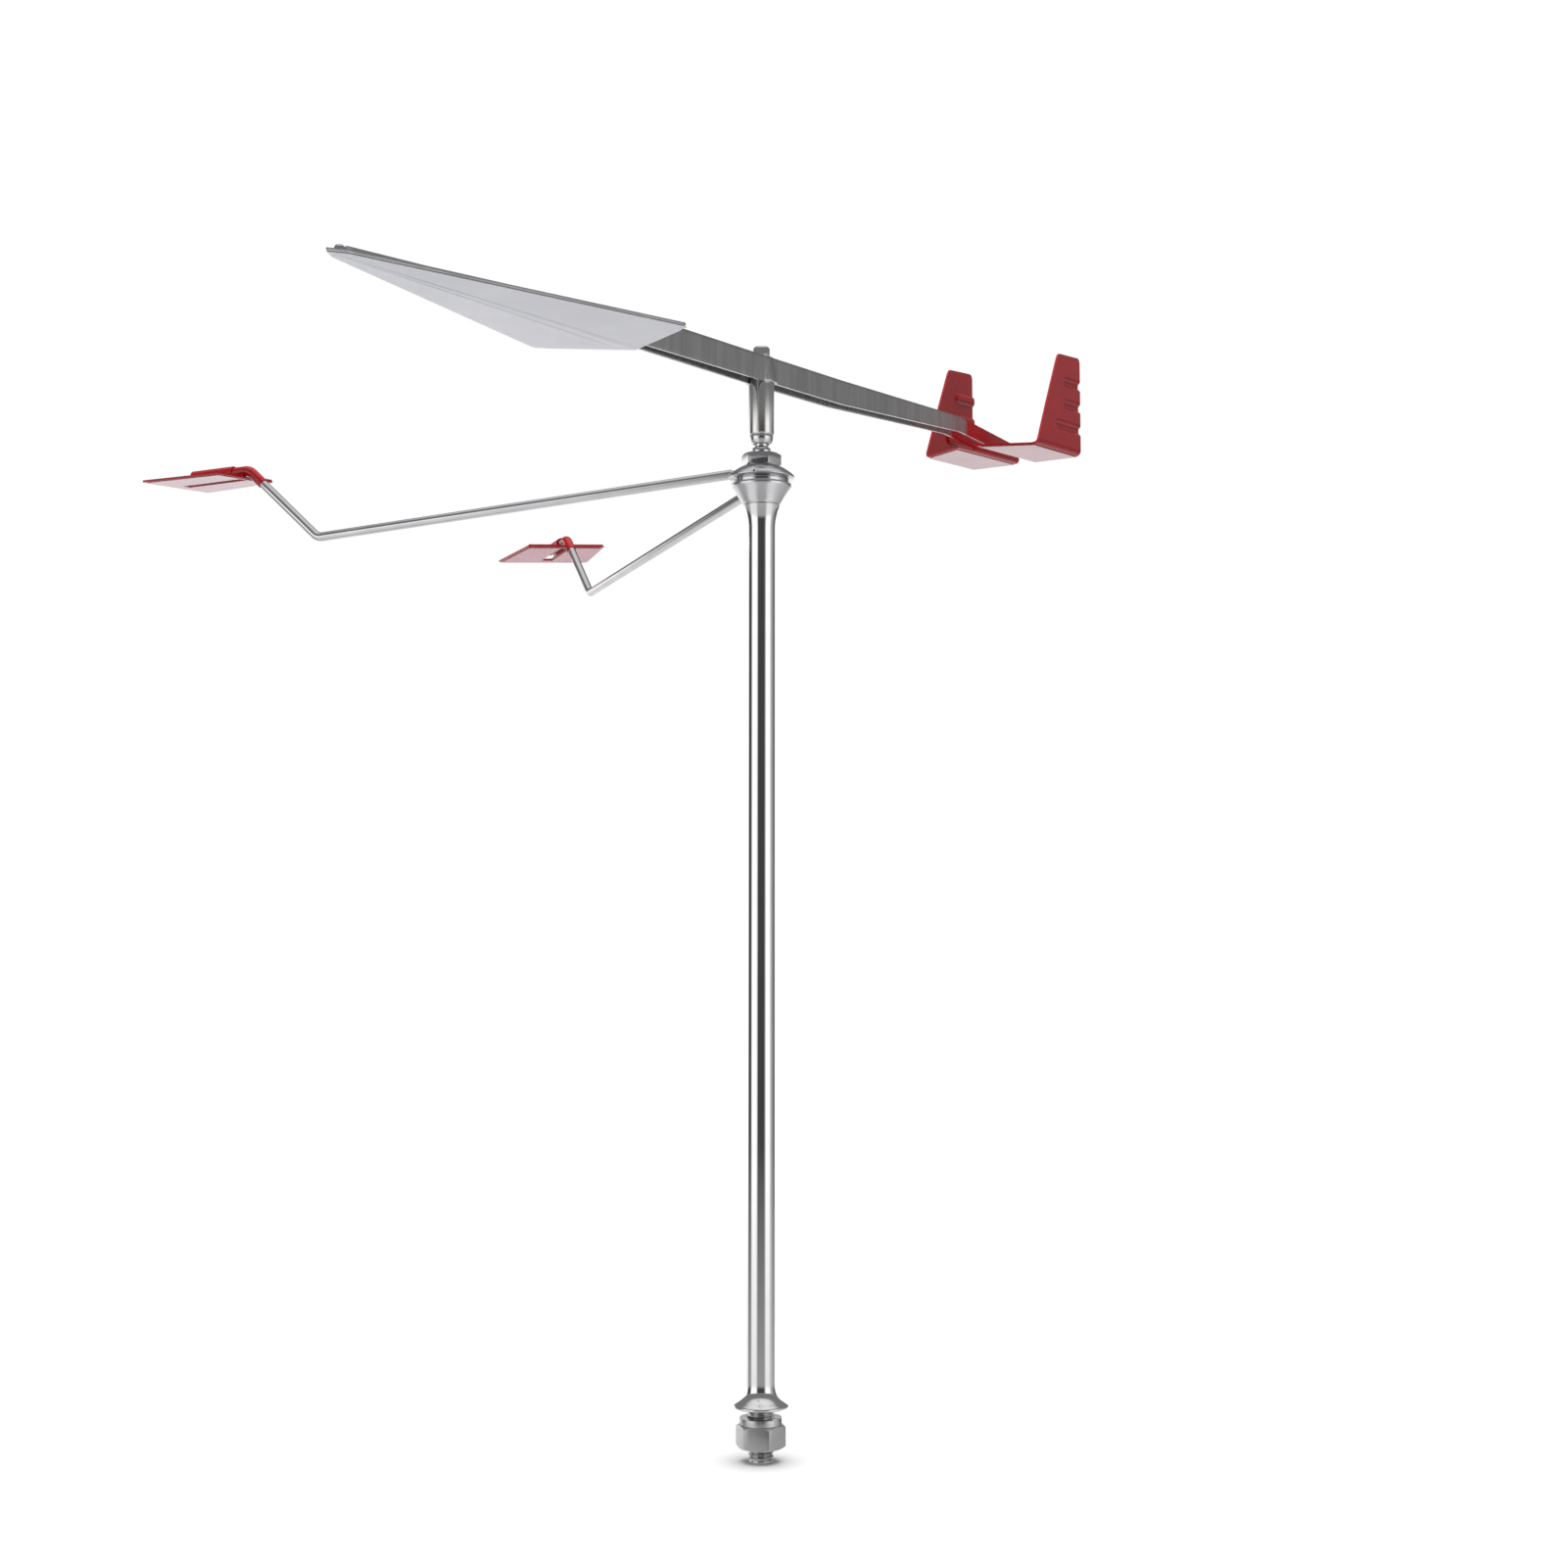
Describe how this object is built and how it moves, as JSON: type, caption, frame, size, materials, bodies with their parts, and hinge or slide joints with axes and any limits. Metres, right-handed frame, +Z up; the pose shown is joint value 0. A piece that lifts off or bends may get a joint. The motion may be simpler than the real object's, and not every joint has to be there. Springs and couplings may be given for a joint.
{
  "type": "masthead wind indicator",
  "caption": "Pivoting arrow vane with twin tail fins, over two swinging reference arms with tabs, on a polished pole with a threaded foot.",
  "frame": {"origin": "centre of the foot flange's underside, on the pole's axis", "axes": "+Z up along the pole, +X towards the vane's nose at rest, +Y to the vane's left"},
  "size_m": [0.4676, 0.2941, 0.4549],
  "materials": {
    "polished_steel": "mirror-polished stainless steel",
    "thread_steel": "cut thread, satin",
    "satin_steel": "satin stainless steel",
    "nut_steel": "satin stainless steel",
    "hub_steel": "fine-turned stainless steel",
    "rod_steel": "drawn and polished rod",
    "red_paint": "deep red gloss paint",
    "tab_film": "reflective film seen in shade, pale pink",
    "tail_film": "reflective film seen in shade, pink grey",
    "wing_film": "white reflective film",
    "bush_plastic": "acetal",
    "jewel": "synthetic ruby",
    "sheet_steel": "mill-finish stainless sheet"
  },
  "bodies": {
    "mast": {"pole": "polished_steel", "mounting_stud": "thread_steel", "lock_washer": "satin_steel", "foot_nut": "nut_steel", "hub": "hub_steel", "axle": "polished_steel", "hub_nut": "polished_steel"},
    "upper_arm": {"arm_upper": "rod_steel", "sleeve_upper": "red_paint", "tab_upper": "red_paint", "tab_film_upper": "tab_film"},
    "lower_arm": {"arm_lower": "rod_steel", "sleeve_lower": "red_paint", "tab_lower": "red_paint", "tab_film_lower": "tab_film"},
    "vane": {"spindle_housing": "polished_steel", "spindle_bush": "bush_plastic", "jewel_cup": "jewel", "spindle_cap": "polished_steel", "strip_left": "sheet_steel", "strip_right": "sheet_steel", "tail_film_left": "tail_film", "tail_film_right": "tail_film", "arrowhead": "sheet_steel", "arrowhead_film": "wing_film", "nose_rivet": "sheet_steel"}
  },
  "joints": [
    {"name": "vane_spin", "type": "hinge", "parent": "mast", "child": "vane", "pos_m": [0, 0, 0.37], "axis": [0, 0, 1], "continuous": true},
    {"name": "upper_arm_swing", "type": "hinge", "parent": "mast", "child": "upper_arm", "pos_m": [0, 0, 0.3436], "axis": [0, 0, 1], "range_deg": [-16, 60]},
    {"name": "lower_arm_swing", "type": "hinge", "parent": "mast", "child": "lower_arm", "pos_m": [0, 0, 0.3404], "axis": [0, 0, 1], "range_deg": [-60, 16]}
  ]
}
